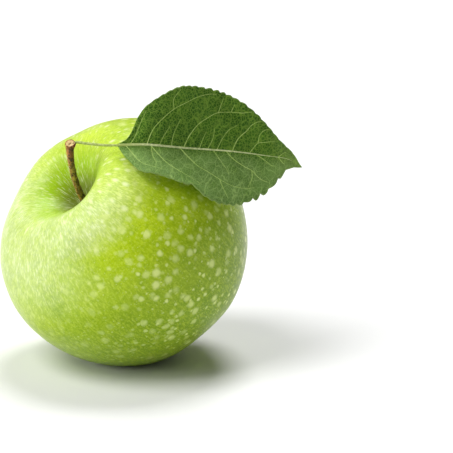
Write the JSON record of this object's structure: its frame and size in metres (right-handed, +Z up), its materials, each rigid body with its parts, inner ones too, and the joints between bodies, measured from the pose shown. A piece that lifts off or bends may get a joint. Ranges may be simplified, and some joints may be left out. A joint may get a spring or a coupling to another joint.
{
  "type": "green apple",
  "caption": "Fresh green apple resting aslant on a small flat spot, with a bent woody stem, a serrated leaf on its stalk and a dried calyx in a lobed basin.",
  "frame": {"origin": "middle of the small flat spot that the apple rests on, on the surface it stands on", "axes": "+Z up; +Y away from the viewer of the picture; the fruit's own axis leans 44 degrees from +Z towards -X and -Y, so the stem cavity faces up, left and forward"},
  "size_m": [0.0953, 0.0791, 0.0907],
  "materials": {
    "skin": "waxy yellow-green apple skin with pale dots",
    "bark": "rough red-brown to olive bark with a pale cut end",
    "leaf_blade": "dark green, satin, with a pale net of veins",
    "dried_calyx": "dry grey-brown withered sepals"
  },
  "bodies": {
    "root": {"fruit": "skin", "stem": "bark", "leaf": "leaf_blade", "calyx": "dried_calyx"}
  },
  "joints": []
}
